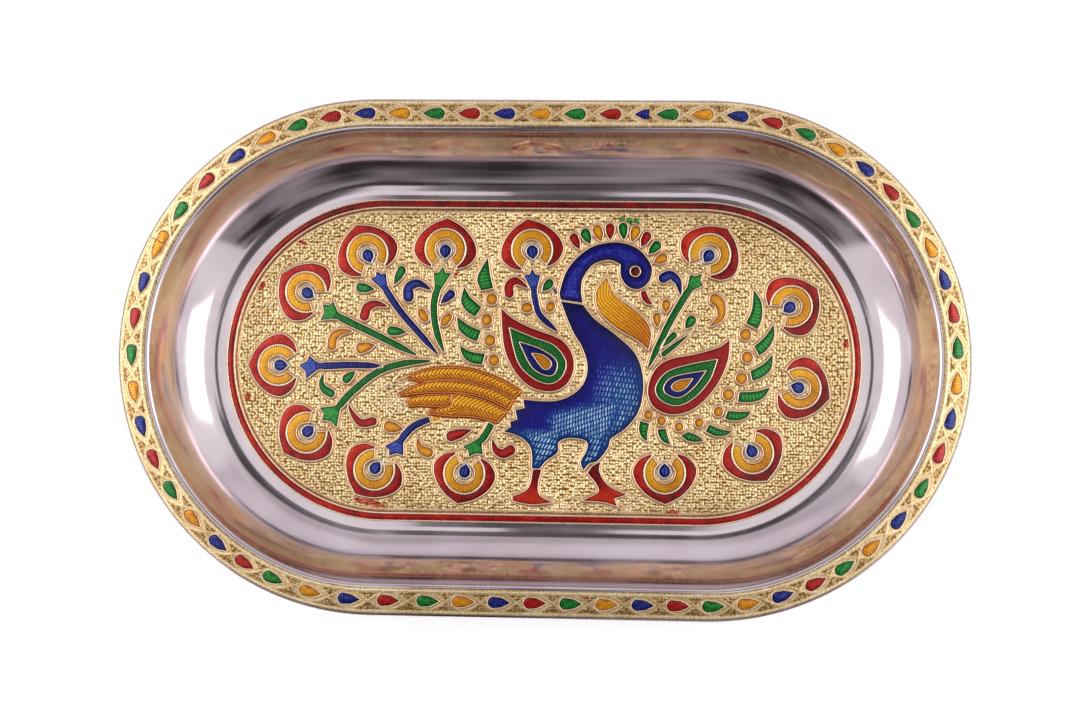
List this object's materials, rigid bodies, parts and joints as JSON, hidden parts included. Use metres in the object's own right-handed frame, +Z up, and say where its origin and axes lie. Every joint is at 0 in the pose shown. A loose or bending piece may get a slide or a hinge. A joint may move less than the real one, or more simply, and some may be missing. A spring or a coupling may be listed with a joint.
{
  "type": "oval serving tray",
  "caption": "Oval steel serving tray with a wide rim, embossed gilt bands and an embossed gilt floor panel filled with coloured enamel.",
  "frame": {"origin": "on the resting plane, under the middle of the tray", "axes": "+X along the tray's length, +Y across it towards the far side of the picture, +Z up"},
  "size_m": [0.2998, 0.1826, 0.0223],
  "materials": {
    "polished_steel": "polished stainless steel with faint brushing",
    "gilt_foil": "embossed gold-coloured foil, stippled ground",
    "red_enamel": "glossy translucent enamel over embossed foil",
    "blue_enamel": "glossy translucent enamel over embossed foil",
    "green_enamel": "glossy translucent enamel over embossed foil",
    "yellow_enamel": "glossy translucent enamel over embossed foil"
  },
  "bodies": {
    "root": {"steel_pan": "polished_steel", "panel_foil": "gilt_foil", "rim_foil_long": "gilt_foil", "rim_foil_short": "gilt_foil", "border_enamel": "red_enamel", "eye_upper_left_red": "red_enamel", "eye_upper_left_yellow": "yellow_enamel", "eye_top_left_red": "red_enamel", "eye_top_left_yellow": "yellow_enamel", "eye_top_centre_left_red": "red_enamel", "eye_top_centre_left_yellow": "yellow_enamel", "eye_top_centre_red": "red_enamel", "eye_top_centre_yellow": "yellow_enamel", "eye_left_red": "red_enamel", "eye_left_yellow": "yellow_enamel", "eye_lower_left_red": "red_enamel", "eye_lower_left_yellow": "yellow_enamel", "eye_bottom_left_red": "red_enamel", "eye_bottom_left_yellow": "yellow_enamel", "eye_bottom_centre_left_red": "red_enamel", "eye_bottom_centre_left_yellow": "yellow_enamel", "eye_top_right_red": "red_enamel", "eye_top_right_yellow": "yellow_enamel", "eye_upper_right_red": "red_enamel", "eye_upper_right_yellow": "yellow_enamel", "eye_right_red": "red_enamel", "eye_right_yellow": "yellow_enamel", "eye_lower_right_red": "red_enamel", "eye_lower_right_yellow": "yellow_enamel", "eye_bottom_right_red": "red_enamel", "eye_bottom_right_yellow": "yellow_enamel", "stem_top_left": "blue_enamel", "stem_top_centre_left": "green_enamel", "stem_top_centre": "blue_enamel", "stem_upper_left": "green_enamel", "stem_left": "blue_enamel", "stem_lower_left": "green_enamel", "stem_bottom_left": "blue_enamel", "stem_bottom_centre_left": "green_enamel", "stem_top_right": "green_enamel", "peacock_neck_and_head": "blue_enamel", "peacock_eye": "red_enamel", "peacock_beak": "red_enamel", "peacock_body": "blue_enamel", "peacock_left_foot": "red_enamel", "peacock_right_foot": "red_enamel", "chest_plume": "yellow_enamel", "tail_plume_1": "yellow_enamel", "tail_plume_2": "yellow_enamel", "tail_plume_3": "yellow_enamel", "tail_plume_4": "yellow_enamel", "left_wing_red": "red_enamel", "left_wing_green": "green_enamel", "left_wing_blue": "blue_enamel", "left_wing_orange": "yellow_enamel", "right_wing_red": "red_enamel", "right_wing_green": "green_enamel", "right_wing_blue": "blue_enamel", "right_wing_orange": "yellow_enamel"}
  },
  "joints": []
}
